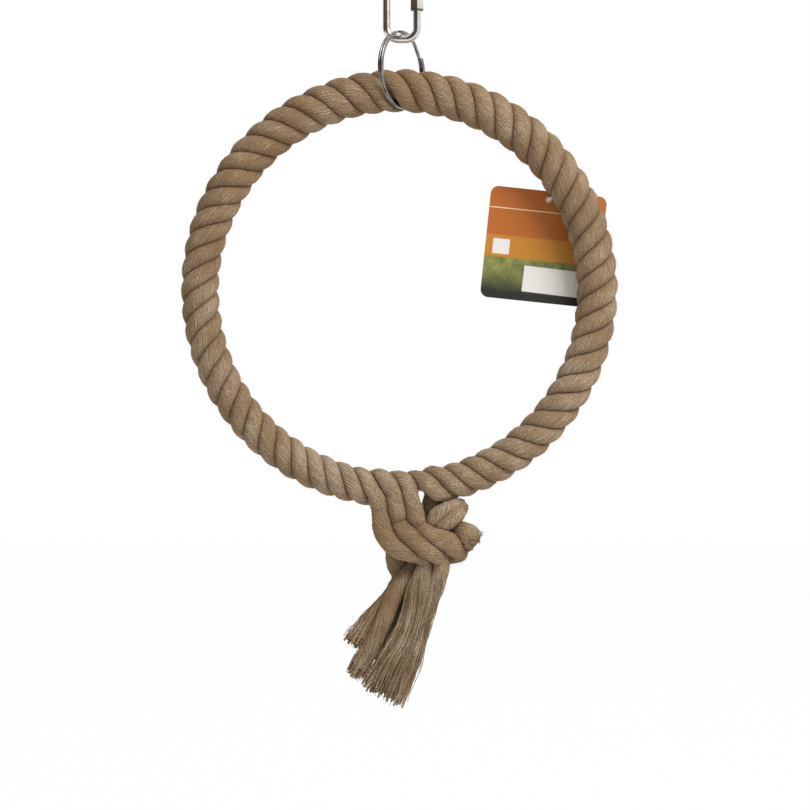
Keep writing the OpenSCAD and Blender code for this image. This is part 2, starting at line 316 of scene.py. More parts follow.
ROUTES = {
    "left_front": [
        (-14, -7.2, -4.6, 5.4, 5), (-12.6, -8.4, -8.6, 5.8, 5), (-11.4, -6.8, -13.2, 5.8, 4.2),
        (-10.6, -7.8, -19, 6.2, 4.8), (-10, -8.8, -24.6, 6.4, 5), (-7.2, -10, -31, 6.4, 5),
        (-1.5, -11.4, -37, 6, 5), (8.2, -10.4, -41, 5.2, 4.8), (15, -5.6, -43.6, 4.6, 4.4),
        (16.6, -3.8, -48, 4.8, 4.4), (15.2, -5, -54, 5.8, 4.8), (13, -5.8, -60, 6.2, 4.8),
        (10.4, -5.6, -70, 6.4, 4.8), (6, -5, -84, 6.8, 5), (0, -4.5, -98, 7.4, 5.2),
        (-7.4, -4, -111.5, 8.4, 5.4), (-16, -4, -129, 10, 5.6),
    ],
    "left_middle": [
        (-12.5, -0.8, 6.6), (-9, -4.8, 4.8), (-6, -7.2, 1.8), (-3.3, -8.5, -3, 5.4, 5.2),
        (-1.6, -8.6, -10, 5.8, 5), (-0.6, -8.4, -16, 6, 5), (0, -6.2, -21.4, 6, 4.2),
        (2.2, -9, -25.6, 6.4, 4.8), (7.5, -12, -30.8, 6.4, 4.8), (15.2, -13, -36.6, 6.2, 4.8),
        (23.2, -10.6, -41.2, 5.6, 4.8), (26.8, -6, -45.8, 5, 4.2), (26.6, -5.4, -51, 5.2, 4.6),
        (24.2, -4.6, -58, 5.6, 4.6), (19.8, -3.4, -70, 5.6, 4.6), (15.2, -3, -84, 5.8, 4.8),
        (10.8, -3, -98, 6.2, 5), (6, -3, -112, 6.4, 5.2), (-2.8, -3, -136, 6.6, 5.4),
    ],
    "left_back": [
        (-12.5, 6.8, -2.4), (-9, 7.2, 1), (-4, 4.8, 4.4), (0, -0.5, 5), (3.2, -4.8, 4),
        (6, -7.2, 1.2), (7.4, -8, -6, 5.2, 5), (9.4, -7.8, -13, 5.8, 5), (10.6, -7.6, -19, 6.2, 4.8),
        (12, -5.8, -24.2, 6, 4.2), (15.6, -8.6, -28, 6.4, 4.8), (20.8, -10.8, -31, 6.8, 4.8),
        (28, -11.6, -33.4, 7.4, 4.8), (35, -9, -36.6, 7.2, 4.8), (38.4, -3, -39.6, 5.6, 5), (37, 4, -42),
        (31, 9.8, -43.4), (22, 14.2, -45), (13.4, 12.6, -48.5), (7.5, 7, -52.5), (3.2, 2, -58.5),
        (-2.2, 0, -66.5), (-7, 0, -78, 5.4, 5), (-13, 0, -91, 5.6, 5), (-20, -1, -105, 5.6, 5),
        (-29, -2, -119, 6, 4.8),
    ],
    "right_front": [
        (23.5, -6.6, -1.8), (20.3, -7.4, 1.2), (16, -6.4, 3.8), (11.4, -0.2, 5.2), (7.7, 6.4, 4),
        (5.2, 11, -3), (5, 13.2, -12), (3, 14, -22), (-0.5, 13.4, -32), (-1.2, 11.4, -41, 7, 5),
        (-0.4, 9.4, -48.6, 7.4, 5), (1.2, 9.6, -57, 5.8, 5), (-2.4, 9, -65.5, 5.6, 5),
        (-12, 8, -77, 5.6, 5), (-22, 5.5, -90, 6.8, 5.2), (-29, 3, -99.5, 7.8, 5.2),
    ],
    "right_top": [
        (22.6, 0.4, 8), (20, 4.6, 7.4), (18.8, 9.6, 5), (20.4, 14.6, 0), (22, 17.4, -5),
        (20.4, 17.6, -11), (21.4, 17.4, -18), (28, 12, -26), (36.4, 0, -28.2, 7.4, 5.4),
        (42.4, -7.5, -30, 8.2, 5.6), (48, -10, -34, 7.6, 5.6),
    ],
    "right_back": [
        (24, 7.6, -3), (22.8, 6.6, -8), (24, 6.4, -13.4), (28.2, 7.4, -16.4), (33, 6.6, -16.6),
        (36.6, 2.6, -13.6, 6.4, 5, 1.5), (36.4, -3.8, -13, 7.8, 5.2, 2.6), (32.2, -8.6, -15.6, 9, 5.4, 3.4),
        (26, -7.8, -20.4, 8.6, 5.2, 3.2), (22, -0.6, -27), (21.6, 3, -37), (20.6, 4.6, -47), (17.5, 6, -57),
        (11.5, 7.5, -66, 5.8, 4.8), (6, 8, -76, 6.2, 5), (1, 8, -87, 6.6, 5), (-4, 7.5, -100, 7, 5.2),
        (-7.5, 7, -114, 7.4, 5.4), (-9, 6.5, -130, 7.4, 5.6),
    ],
}
# The strand that starts at the left as the first name comes out at the right as the second.
STRANDS = [("left_front", "right_front"), ("left_middle", "right_top"), ("left_back", "right_back")]


def through(xs, ys, x):
    """Smooth values through given points: a cubic between each two, with averaged slopes."""
    xs, ys = np.asarray(xs, float), np.asarray(ys, float)
    slopes = np.gradient(ys, xs)
    i = np.clip(np.searchsorted(xs, x) - 1, 0, len(xs) - 2)
    width = xs[i + 1] - xs[i]
    u = (x - xs[i]) / width
    rise = (2 * u**3 - 3 * u**2 + 1) * ys[i] + (3 * u**2 - 2 * u**3) * ys[i + 1]
    return rise + width * ((u**3 - 2 * u**2 + u) * slopes[i] + (u**3 - u**2) * slopes[i + 1])


def girth(angles):
    """How thick the rope is at an angle; it is pulled thinner towards the knot."""
    return np.interp(np.mod(angles, 360.0), GIRTH_ANGLES, GIRTH_SHARES)


def sag(angles):
    """How far the rope's middle line hangs outside the true circle."""
    a = np.radians(angles)
    return SAG_EVEN - SAG_DOWN * np.cos(a) - SAG_SIDES * np.sin(a) ** 2


def lay_points(number, angles):
    """Points of one strand on the ring, at angles counted clockwise from the top."""
    grooves = through(GROOVE_ANGLES, GROOVE_COUNTS, angles)
    turn = np.radians(GROOVE_TURN * grooves + FIRST_TURN + GROOVE_TURN * number)
    a = np.radians(angles)
    outward = np.stack([np.sin(a), np.zeros_like(a), np.cos(a)], axis=1)
    front = np.array((0.0, -1.0, 0.0))
    lay_r = LAY_R * girth(angles)
    reach = (RING_R + sag(angles) + lay_r * np.cos(turn))[:, None] * outward
    return RING_MIDDLE + reach + (lay_r * np.sin(turn))[:, None] * front


def full_rows(route):
    """Route points in the model's frame, each with half width, half depth and cleft."""
    rows = []
    for row in route:
        extra = list(row[3:]) + [STRAND_R, STRAND_R, 0.0][len(row) - 3:]
        rows.append([*(KNOT + np.array(row[:3], float)), *extra])
    return rows


def running_length(places):
    return np.concatenate([[0.0], np.cumsum(np.linalg.norm(np.diff(places, axis=0), axis=1))])


def smooth_path(rows, step):
    """An evenly spaced path through rows of values whose first three are a place."""
    rows = np.array(rows, float)
    reach = running_length(rows[:, :3])
    fine = np.linspace(0.0, reach[-1], int(reach[-1] * FINE_PER_MM))
    dense = np.stack([through(reach, rows[:, k], fine) for k in range(rows.shape[1])], axis=1)
    length = running_length(dense[:, :3])
    even = np.linspace(0.0, length[-1], int(round(length[-1] / step)) + 1)
    return even, np.stack([np.interp(even, length, dense[:, k]) for k in range(rows.shape[1])], axis=1)


strand_lines = []
ring_angles = np.arange(LEFT_END, RIGHT_END + 0.01, ANGLE_STEP)
ring_sizes = STRAND_R * girth(ring_angles)
for number, (left, right) in enumerate(STRANDS):
    on_ring = [[*p, r, r, 0.0] for p, r in zip(lay_points(number, ring_angles), ring_sizes)]
    rows = full_rows(ROUTES[left])[::-1] + on_ring + full_rows(ROUTES[right])
    strand_lines.append(smooth_path(rows, STEP))
    length = round(strand_lines[-1][0][-1])
    print("strand", number + 1, "from", left, "to", right, "is", length, "mm long")

# %% [markdown]
# ## A strand as a bundle of yarns
# A strand is itself twisted from yarns, the other way round, so its surface is a set of rounded
# ridges that run across the strand. The ridges are a rule: so many yarns, so deep, turning so
# fast along the path. A geometry tree sweeps a circle along the path and moves each point to the
# place that the rule gives. The mesh lines turn with the yarns, so each ridge keeps clean sides
# with only four points across it.


# %% Helpers for geometry trees
def geometry_tree(name, inputs):
    group = bpy.data.node_groups.new(name, "GeometryNodeTree")
    group.interface.new_socket("Geometry", in_out="INPUT", socket_type="NodeSocketGeometry")
    for label, kind in inputs.items():
        group.interface.new_socket(label, in_out="INPUT", socket_type="NodeSocket" + kind)
    group.interface.new_socket("Geometry", in_out="OUTPUT", socket_type="NodeSocketGeometry")
    tree = Tree(group)
    return group, tree, tree.add("NodeGroupInput").outputs


def keep(tree, geometry, name, value, kind="FLOAT"):
    """Stores a value on every point under a name."""
    inputs = {"Geometry": geometry, "Name": name, "Value": value}
    return tree.geo("StoreNamedAttribute", inputs, data_type=kind, domain="POINT")


def recall(tree, name, kind="FLOAT"):
    return tree.geo("InputNamedAttribute", {"Name": name}, data_type=kind)


def profile(tree, sides, radius):
    """A circle whose points know how far round they are."""
    circle = tree.geo("CurvePrimitiveCircle", {"Resolution": sides, "Radius": radius})
    return keep(tree, circle, "around", tree.geo("SplineParameter"))


def spread_over(tree, side, deep):
    """An offset across a path, from amounts along its two directions."""
    return tree.vector("ADD", tree.stretch(recall(tree, "across", "FLOAT_VECTOR"), side),
                       tree.stretch(recall(tree, "outward", "FLOAT_VECTOR"), deep))


def finish_tree(tree, geometry, finish):
    smooth = tree.geo("SetShadeSmooth", {"Geometry": geometry})
    real = tree.geo("RealizeInstances", {"Geometry": smooth})
    painted = tree.geo("SetMaterial", {"Geometry": real, "Material": finish})
    tree.add("NodeGroupOutput", {"Geometry": painted})
    print("geometry tree:", tree.tree.name, "with", len(tree.tree.nodes), "nodes")


def guide_mesh(name, places, **values):
    """A line of points, with named values on its points."""
    mesh = bpy.data.meshes.new(name)
    count = len(places)
    mesh.from_pydata((places * MM).tolist(), [(i, i + 1) for i in range(count - 1)], [])
    for key, array in values.items():
        array = np.asarray(array, np.float32)
        kind, field = ("FLOAT_VECTOR", "vector") if array.ndim == 2 else ("FLOAT", "value")
        mesh.attributes.new(key, kind, "POINT").data.foreach_set(field, array.ravel())
    return mesh


def grow(name, mesh, group, values):
    """Runs a geometry tree on a mesh and returns the result as a plain mesh."""
    holder = add_object(name + "_guide", mesh)
    modifier = holder.modifiers.new("grow", "NODES")
    modifier.node_group = group
    for item in group.interface.items_tree:
        if item.in_out == "INPUT" and item.name in values:
            modifier[item.identifier] = values[item.name]
    graph = bpy.context.evaluated_depsgraph_get()
    result = bpy.data.meshes.new_from_object(
        holder.evaluated_get(graph), preserve_all_data_layers=True, depsgraph=graph)
    holder.modifiers.remove(modifier)
    bpy.data.objects.remove(holder)
    result.name = name
    return result


def add_piece(name, mesh, body, slot, *replaced):
    piece = add_object(name, mesh)
    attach(piece, body)
    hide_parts(*replaced)
    mesh.calc_loop_triangles()
    print(name, "rides on", body, "with", len(mesh.loop_triangles), "triangles")


print("geometry helpers ready")

# %% Tree of a laid strand
TO_MM = 1000.0
FIRST_R = 4.0 * MM
CLEFT_WIDTH = 0.3
RIDGE_LEVEL = 0.7
UNEVEN_SCALE, LUMP_SCALE = 0.16, 0.22
FIBRE_R = 5.0

strand_tree, t, given = geometry_tree("laid_strand", {
    "Yarns": "Int", "Points per Yarn": "Int", "Yarn Depth": "Float", "Lumps": "Float",
    "Finish": "Material"})
line = t.geo("MeshToCurve", {"Mesh": given["Geometry"]})
line = keep(t, line, "middle", t.geo("InputPosition"), "FLOAT_VECTOR")
sides = t.times(given["Yarns"], given["Points per Yarn"])
circle = profile(t, sides, FIRST_R)
tube = t.geo("CurveToMesh", {"Curve": line, "Profile Curve": circle, "Fill Caps": True})

around, middle = recall(t, "around"), recall(t, "middle", "FLOAT_VECTOR")
whole_turn = t.times(around, math.tau)
ridge = t.math("ABSOLUTE", t.sine(t.times(t.times(around, given["Yarns"]), math.pi)))
angle = t.plus(whole_turn, recall(t, "turn"))
leant = t.minus(angle, recall(t, "lean"))
flat_part = t.square(t.over(t.cosine(leant), recall(t, "wide")))
deep_part = t.square(t.over(t.sine(leant), recall(t, "tall")))
reach = t.math("INVERSE_SQRT", t.plus(flat_part, deep_part))
from_front = t.math("WRAP", t.minus(leant, math.pi / 2), math.pi, -math.pi)
bell = t.math("EXPONENT", t.times(t.square(t.over(from_front, CLEFT_WIDTH)), -1.0))
reach = t.minus(reach, t.times(bell, recall(t, "cleft")))
uneven = t.noise(t.stretch(middle, TO_MM), UNEVEN_SCALE, detail=1.0)
relief = t.times(t.minus(ridge, RIDGE_LEVEL), given["Yarn Depth"])
relief = t.times(relief, t.plus(uneven, 0.5))
lump = t.noise(t.stretch(t.geo("InputPosition"), TO_MM), LUMP_SCALE)
lump = t.times(t.minus(lump, 0.5), given["Lumps"])
reach = t.plus(reach, t.plus(relief, lump))
offset = spread_over(t, t.times(reach, t.cosine(angle)), t.times(reach, t.sine(angle)))
place = t.vector("ADD", middle, offset)
moved = t.geo("SetPosition", {"Geometry": tube, "Position": place})
straight = t.step("ShaderNodeCombineXYZ", {
    "X": t.times(t.cosine(whole_turn), FIBRE_R),
    "Y": t.times(t.sine(whole_turn), FIBRE_R), "Z": recall(t, "along")})
moved = keep(t, moved, "fibre", straight, "FLOAT_VECTOR")
# The valleys between yarns are marked for painted shade.
moved = keep(t, moved, "groove", t.minus(1.0, ridge))
finish_tree(t, moved, given["Finish"])

# %% Frames along a path
YARN_TURN = -0.1605


def unit(vectors):
    return vectors / np.maximum(np.linalg.norm(vectors, axis=-1, keepdims=True), 1e-9)


def path_frame(places):
    """Directions along a path: forward, and two across it that are carried without twist."""
    forward = unit(np.gradient(places, axis=0))
    across = np.zeros_like(forward)
    across[0] = unit(np.cross(forward[0], (0.3, 0.2, 1.0)))
    for i in range(1, len(places)):
        carried = across[i - 1] - np.dot(across[i - 1], forward[i]) * forward[i]
        across[i] = carried / np.linalg.norm(carried)
    return forward, across, np.cross(forward, across)


def seen_frame(forward):
    """Directions across a path as seen from the front: sideways in the picture, and to the viewer."""
    viewer = np.array((0.0, -1.0, 0.0))
    to_viewer = unit(viewer - (forward @ viewer)[:, None] * forward)
    return np.cross(to_viewer, forward), to_viewer


print("one turn of a yarn in the strand:", round(math.tau / abs(YARN_TURN), 1), "mm")

# %% [markdown]
# ## The three strands
# Each strand is one unbroken piece from its left end, round the ring and through the knot to its
# right end. Near each end the tube of yarns grows slim and gives way to the loose yarns of the
# tail, which are made further on.

# %% Sweep the strands
YARNS = 16
YARN_DEPTH = 0.32
LUMPS = 1.1
SLIM_SIZE = 0.6
EASE_LENGTH, EASE_LEAST = 55.0, 0.1


def for_each_end(*values):
    """Values for the six ends, in the order of the routes."""
    return dict(zip(ROUTES, values))


FRAY = for_each_end(86, 90, 44, 38, 4, 92)
SLIM = for_each_end(20, 20, 20, 20, 3, 20)

strand_meshes, strand_middles = [], []
for number, (left, right) in enumerate(STRANDS):
    along, path = strand_lines[number]
    forward, across, outward = path_frame(path[:, :3])
    sideways = seen_frame(forward)[0]
    lean = np.arctan2((sideways * outward).sum(1), (sideways * across).sum(1))
    left_over = along - (FRAY[left] - SLIM[left])
    right_over = (along[-1] - FRAY[right] + SLIM[right]) - along
    fullness = np.clip(np.minimum(left_over / SLIM[left], right_over / SLIM[right]), 0.0, 1.0)
    slimming = SLIM_SIZE + (1.0 - SLIM_SIZE) * fullness * fullness * (3 - 2 * fullness)
    easing = np.clip(np.minimum(left_over, right_over) / EASE_LENGTH, EASE_LEAST, 1.0)
    kept = (left_over >= 0) & (right_over >= 0)
    guide = guide_mesh(
        "strand_route", path[kept, :3], across=across[kept], outward=outward[kept], lean=lean[kept],
        turn=np.cumsum(YARN_TURN * STEP * easing)[kept], along=along[kept],
        wide=(path[:, 3] * slimming)[kept] * MM, tall=(path[:, 4] * slimming)[kept] * MM,
        cleft=path[kept, 5] * MM)
    mesh = grow("rope_strand_%d" % (number + 1), guide, strand_tree, {
        "Yarns": YARNS, "Points per Yarn": 4, "Yarn Depth": YARN_DEPTH * MM, "Lumps": LUMPS * MM,
        "Finish": rope_finish})
    strand_meshes.append(mesh)
    strand_middles.append(path[kept, :3])
    print(mesh.name, len(mesh.vertices), "points")

# %% [markdown]
# ## Pressing the strands together
# Round tubes would pass into each other where the rope is laid tight and where the knot is drawn
# up. Real strands press flat against their neighbours. Each point of a strand that is nearer to
# another strand's middle line than to its own is drawn back to half way between the two. The
# hoop and the split ring are hard neighbours: the strands lie round the first, and make room for
# the second's wire, with a gap that widens upwards so that the ring can rock.

# %% Press the strands flat against each other
PRESS_GAP, PRESS_SWEEPS = 0.06, 2
LEAST_SHARE, NO_LIMIT, TINY = 0.25, 9.0, 1e-6
SPLIT_MIDDLE = np.array((0.0, 0.0, -63.7))
SPLIT_TURN = math.radians(56)
SPLIT_ALONG = np.array((math.cos(SPLIT_TURN), math.sin(SPLIT_TURN), 0.0))
SPLIT_NORMAL = np.array((math.sin(SPLIT_TURN), -math.cos(SPLIT_TURN), 0.0))
SPLIT_INSIDE_R = 22.0
SPLIT_HALF, SPLIT_ROOM = 1.75, 0.48
ROCK_SLOPE, ROCK_BELOW = 0.22, 1.5
ROOM_INSIDE, ROOM_OUTSIDE = 0.5, 6
HOOP_ROOM = 2.7
SHALLOW, CORE_SHARE = 0.74, 0.7
KNOT_CLEAR, KNOT_FADE = 14.0, 8.0
# How far from a crease the painted shade reaches.
CREASE_SHADE_WIDTH = 2.3
# Painted light from below: where it fades out past the ring's outer edge, how fast it grows downwards, and
# how dark it makes the top.
UNDERLIGHT_REACH, UNDERLIGHT_FADE = 144.0, 6.0
UNDERLIGHT_SLOPE, UNDERLIGHT_TOP = 1.4, -0.6


def read_points(data, field):
    values = np.zeros(len(data) * 3, np.float32)
    data.foreach_get(field, values)
    return values.reshape(-1, 3).astype(float) / MM


def write_values(mesh, name, values):
    mesh.attributes.new(name, "FLOAT", "POINT").data.foreach_set("value", values.astype(np.float32))


def line_tree(places):
    tree = KDTree(len(places))
    for i, place in enumerate(places):
        tree.insert(place, i)
    tree.balance()
    return tree


def nearest(number, places):
    """For each place, the nearest point of one strand's middle line."""
    return strand_middles[number][[line_trees[number].find(place)[1] for place in places]]


def draw_back(places, middles, others):
    """Pulls points towards their own middle until they are no nearer to the other strand."""
    spoke = places - middles
    apart = middles - others
    lean_in = -2.0 * (spoke * apart).sum(1)
    share = np.where(lean_in > TINY, (apart * apart).sum(1) / np.maximum(lean_in, TINY), NO_LIMIT)
    share -= PRESS_GAP / np.maximum(np.linalg.norm(spoke, axis=1), 0.1)
    return middles + spoke * np.clip(share, LEAST_SHARE, 1.0)[:, None]


def clear_split_ring(places, middles):
    """Moves points sideways out of the split ring's wire and the room that it rocks in."""
    offset = places - SPLIT_MIDDLE
    in_plane = np.hypot(offset @ SPLIT_ALONG, offset[:, 2])
    off_plane = offset @ SPLIT_NORMAL
    height = np.maximum(offset[:, 2] + SPLIT_INSIDE_R + ROCK_BELOW, 0.0)
    half = SPLIT_HALF + SPLIT_ROOM + ROCK_SLOPE * height
    inside = (in_plane > SPLIT_INSIDE_R - ROOM_INSIDE) & (in_plane < SPLIT_INSIDE_R + ROOM_OUTSIDE)
    inside &= np.abs(off_plane) < half
    side = np.sign((middles - SPLIT_MIDDLE) @ SPLIT_NORMAL)
    push = np.where(inside, side * half - off_plane, 0.0)
    return places + push[:, None] * SPLIT_NORMAL, int(inside.sum())


def place_on_ring(offset, ring_r, depth):
    """Places at new distances from the ring's axis and new depths, in the same directions."""
    flat = offset[:, [0, 2]] * (ring_r / np.hypot(offset[:, 0], offset[:, 2]))[:, None]
    return RING_MIDDLE + np.stack([flat[:, 0], depth, flat[:, 1]], axis=1)


def clear_hoop(places):
    """Moves points out of the steel hoop that the rope is laid round."""
    offset = places - RING_MIDDLE
    from_hoop = np.stack([np.hypot(offset[:, 0], offset[:, 2]) - RING_R, offset[:, 1]], axis=1)
    gap = np.maximum(np.linalg.norm(from_hoop, axis=1), TINY)
    grown = from_hoop * np.maximum(HOOP_ROOM / gap, 1.0)[:, None]
    return place_on_ring(offset, RING_R + grown[:, 0], grown[:, 1])


def fill_creases(places):
    """Makes the creases of the laid rope shallower, as strands do that are drawn tight."""
    offset = places - RING_MIDDLE
    angles = np.degrees(np.arctan2(offset[:, 0], offset[:, 2]))
    full_r = (LAY_R + STRAND_R) * girth(angles)
    in_plane = np.hypot(offset[:, 0], offset[:, 2])
    from_line = np.stack([in_plane - RING_R - sag(angles), offset[:, 1]], axis=1)
    reach = np.maximum(np.linalg.norm(from_line, axis=1), TINY)
    filled = np.where(reach > CORE_SHARE * full_r, full_r - SHALLOW * (full_r - reach),
                      reach * (1.0 - (1.0 - CORE_SHARE) * SHALLOW) / CORE_SHARE)
    from_knot = np.abs(np.mod(angles, 360.0) - 180.0)
    amount = np.clip((from_knot - KNOT_CLEAR) / KNOT_FADE, 0.0, 1.0)
    amount = amount * (reach < full_r) * np.clip(reach / full_r * 4 - 1, 0, 1)
    grown = from_line * (1.0 + amount * (filled / reach - 1.0))[:, None]
    return place_on_ring(offset, RING_R + sag(angles) + grown[:, 0], grown[:, 1])


line_trees = [line_tree(places) for places in strand_middles]
for number, mesh in enumerate(strand_meshes):
    places = read_points(mesh.vertices, "co")
    middles = read_points(mesh.attributes["middle"].data, "vector")
    others = [other for other in range(len(STRANDS)) if other != number]
    for other in others * PRESS_SWEEPS:
        places = draw_back(places, middles, nearest(other, places))
    places, pushed = clear_split_ring(clear_hoop(fill_creases(places)), middles)
    mesh.vertices.foreach_set("co", (places * MM).astype(np.float32).ravel())
    mesh.update()
    to_others = [np.linalg.norm(places - nearest(other, places), axis=1) for other in others]
    room = np.min(to_others, axis=0) - np.linalg.norm(places - middles, axis=1)
    # Points near another strand are marked for painted shade in the crease between them.
    write_values(mesh, "crease_shade", np.exp(-np.maximum(room, 0.0) / CREASE_SHADE_WIDTH))
    # The ring's points are marked for painted light from below: lighter towards the foot, darker at the top,
    # fading out past the ring's outer edge.
    offset = places - RING_MIDDLE
    on_ring = np.clip((UNDERLIGHT_REACH - np.hypot(offset[:, 0], offset[:, 2])) / UNDERLIGHT_FADE, 0.0, 1.0)
    low_down = np.clip(-UNDERLIGHT_SLOPE * offset[:, 2] / RING_R, UNDERLIGHT_TOP, 1.0)
    write_values(mesh, "painted_underlight", on_ring * low_down)
    print(mesh.name, "pressed;", pushed, "points moved for the split ring")

for number, (left, right) in enumerate(STRANDS):
    add_piece("rope_strand_%d" % (number + 1), strand_meshes[number], "rope", "rope",
              "rope_ring", left + "_strand", right + "_strand")

# %% [markdown]
# ## Frayed tails
# Past the knot the strands are left to open out. Their yarns lose the twist, lie side by side and
# end at slightly different lengths. A geometry tree copies the tail's middle line once for each
# yarn, spreads the copies over the tail's section on a sunflower pattern, lets them wander more
# towards the tip, trims each one at its own length, and gives each a thin round body. The same
# tree makes the fine stray fibres, with more copies that are much thinner.

# %% Tree of a frayed tail
GOLDEN_ANGLE = 2.39996
SPREAD_LEAST, SPREAD_MOST, SPREAD_SEED = 0.88, 1.06, 4
DRIFT_ACROSS, DRIFT_ALONG = 330.0, 0.04
THINNEST, THICKEST, TIP_THINNING = 0.65, 1.3, 0.3
STREAK_SHIFT, STREAK_ROUND = 2.3, 4.0

tail_tree, t, given = geometry_tree("frayed_tail", {
    "Yarns": "Int", "Yarn Radius": "Float", "Yarn Sides": "Int", "Spread": "Float",
    "Wander": "Float", "Shortest": "Float", "Seed": "Int", "Finish": "Material"})


def chance(tree, low, high, number, seed):
    inputs = {"Min": low, "Max": high, "ID": number, "Seed": seed}
    return tree.step("FunctionNodeRandomValue", inputs, data_type="FLOAT")


line = t.geo("MeshToCurve", {"Mesh": given["Geometry"]})
copies = t.add("GeometryNodeDuplicateElements", {"Geometry": line, "Amount": given["Yarns"]}, domain="SPLINE")
lines = keep(t, copies.outputs["Geometry"], "yarn", copies.outputs["Duplicate Index"])
yarn, to_tip = recall(t, "yarn"), recall(t, "to_tip")
spread = t.times(given["Spread"], chance(t, SPREAD_LEAST, SPREAD_MOST, yarn, SPREAD_SEED))
share = t.math("SQRT", t.over(t.plus(yarn, 0.5), given["Yarns"]))
share = t.times(share, spread)
angle = t.plus(t.times(yarn, GOLDEN_ANGLE), recall(t, "turn"))
side = t.times(t.times(share, recall(t, "wide")), t.cosine(angle))
deep = t.times(t.times(share, recall(t, "tall")), t.sine(angle))
sample = t.step("ShaderNodeCombineXYZ", {
    "X": t.times(side, DRIFT_ACROSS), "Y": t.times(recall(t, "along"), DRIFT_ALONG),
    "Z": t.times_plus(deep, DRIFT_ACROSS, given["Seed"])})
drift = t.vector("SUBTRACT", t.noise(sample, 1.0, output="Color"), (0.5, 0.5, 0.5))
drift = t.stretch(drift, t.times(given["Wander"], to_tip))
offset = t.vector("ADD", spread_over(t, side, deep), drift)
lines = t.geo("SetPosition", {"Geometry": lines, "Offset": offset})
ends = chance(t, given["Shortest"], 1.0, yarn, given["Seed"])
lines = t.geo("TrimCurve", {"Curve": lines, "End": ends}, mode="FACTOR")
thickness = t.times(given["Yarn Radius"], chance(t, THINNEST, THICKEST, yarn, given["Seed"]))
thickness = t.times(thickness, t.minus(1.0, t.times(t.math("POWER", to_tip, 4.0), TIP_THINNING)))
circle = profile(t, given["Yarn Sides"], 1.0)
bodies = t.geo("CurveToMesh", {
    "Curve": lines, "Profile Curve": circle, "Scale": thickness, "Fill Caps": True})
straight = t.step("ShaderNodeCombineXYZ", {
    "X": t.times(yarn, STREAK_SHIFT), "Y": t.times(recall(t, "around"), STREAK_ROUND),
    "Z": recall(t, "along")})
bodies = keep(t, bodies, "fibre", straight, "FLOAT_VECTOR")
# Yarns deep inside the tail are marked for painted shade.
bodies = keep(t, bodies, "groove", t.larger(t.minus(1.0, share), 0.0))
finish_tree(t, bodies, given["Finish"])

# %% Grow the six tails
TAIL_STEP, LEAST_SPOTS = 2.2, 6
UNTWIST, TAIL_TWIST = 16.0, 0.6
FILL_START, FILL_MORE, FILL_LENGTH = 0.84, 0.12, 20.0
TAIL_YARNS = for_each_end(110, 100, 70, 80, 60, 100)
YARN_RADII = for_each_end(0.64, 0.64, 0.8, 0.85, 1.2, 0.64)
WANDERS = for_each_end(6.0, 6.0, 4.5, 5.0, 1.0, 6.0)
TAIL_SEEDS = for_each_end(3, 5, 8, 13, 21, 34)
SHORTEST = for_each_end(0.82, 0.88, 0.78, 0.8, 0.93, 0.88)


def tail_guide(number, end):
    """The line of one frayed end, from inside its strand to the tip."""
    along, path = strand_lines[number]
    if end.startswith("left"):
        path = path[::-1]
    length = FRAY[end]
    spots = np.linspace(along[-1] - length, along[-1], max(int(length / TAIL_STEP), LEAST_SPOTS))
    path = np.stack([np.interp(spots, along, path[:, k]) for k in range(path.shape[1])], axis=1)
    sideways, to_viewer = seen_frame(unit(np.gradient(path[:, :3], axis=0)))
    gone = spots - spots[0]
    fill = FILL_START + FILL_MORE * np.clip(gone / FILL_LENGTH, 0.0, 1.0)
    return guide_mesh(
        "tail_route", path[:, :3], across=sideways, outward=to_viewer, along=gone,
        to_tip=gone / gone[-1], wide=path[:, 3] * fill * MM, tall=path[:, 4] * fill * MM,
        turn=TAIL_TWIST * YARN_TURN * UNTWIST * (1.0 - np.exp(-gone / UNTWIST)))


for number, ends in enumerate(STRANDS):
    for end in ends:
        yarns = {
            "Yarns": TAIL_YARNS[end], "Yarn Radius": YARN_RADII[end] * MM, "Yarn Sides": 6,
            "Spread": 1.0, "Wander": WANDERS[end] * MM, "Shortest": SHORTEST[end]}
        strays = {
            "Yarns": 240, "Yarn Radius": 0.2 * MM, "Yarn Sides": 3, "Spread": 1.14,
            "Wander": 9.0 * MM, "Shortest": SHORTEST[end] - 0.15}
        for name, values in ((end + "_tail", yarns), (end + "_fibres", strays)):
            shared = {"Seed": TAIL_SEEDS[end], "Finish": tail_finish}
            mesh = grow(name, tail_guide(number, end), tail_tree, {**values, **shared})
            add_piece(name, mesh, "rope", "rope", end + "_strand")

# %% [markdown]
# ## Loose fibres
# Natural rope is never clean: short ends of fibre stand off it everywhere and soften its outline.
# A geometry tree scatters points over the strands and puts a small bent hair on each, turned at
# random. Places where the split ring and the card move are left bare.

# %% Tree of the loose fibres
SEAT_BARE = 24.0 * MM
CARD_BARE, CARD_DEPTH = 75.0 * MM, 5.0 * MM
HAIR_SHORT, HAIR_LONG, HAIR_SEED = 0.35, 1.3, 7
HAIR_THINNING = 0.6

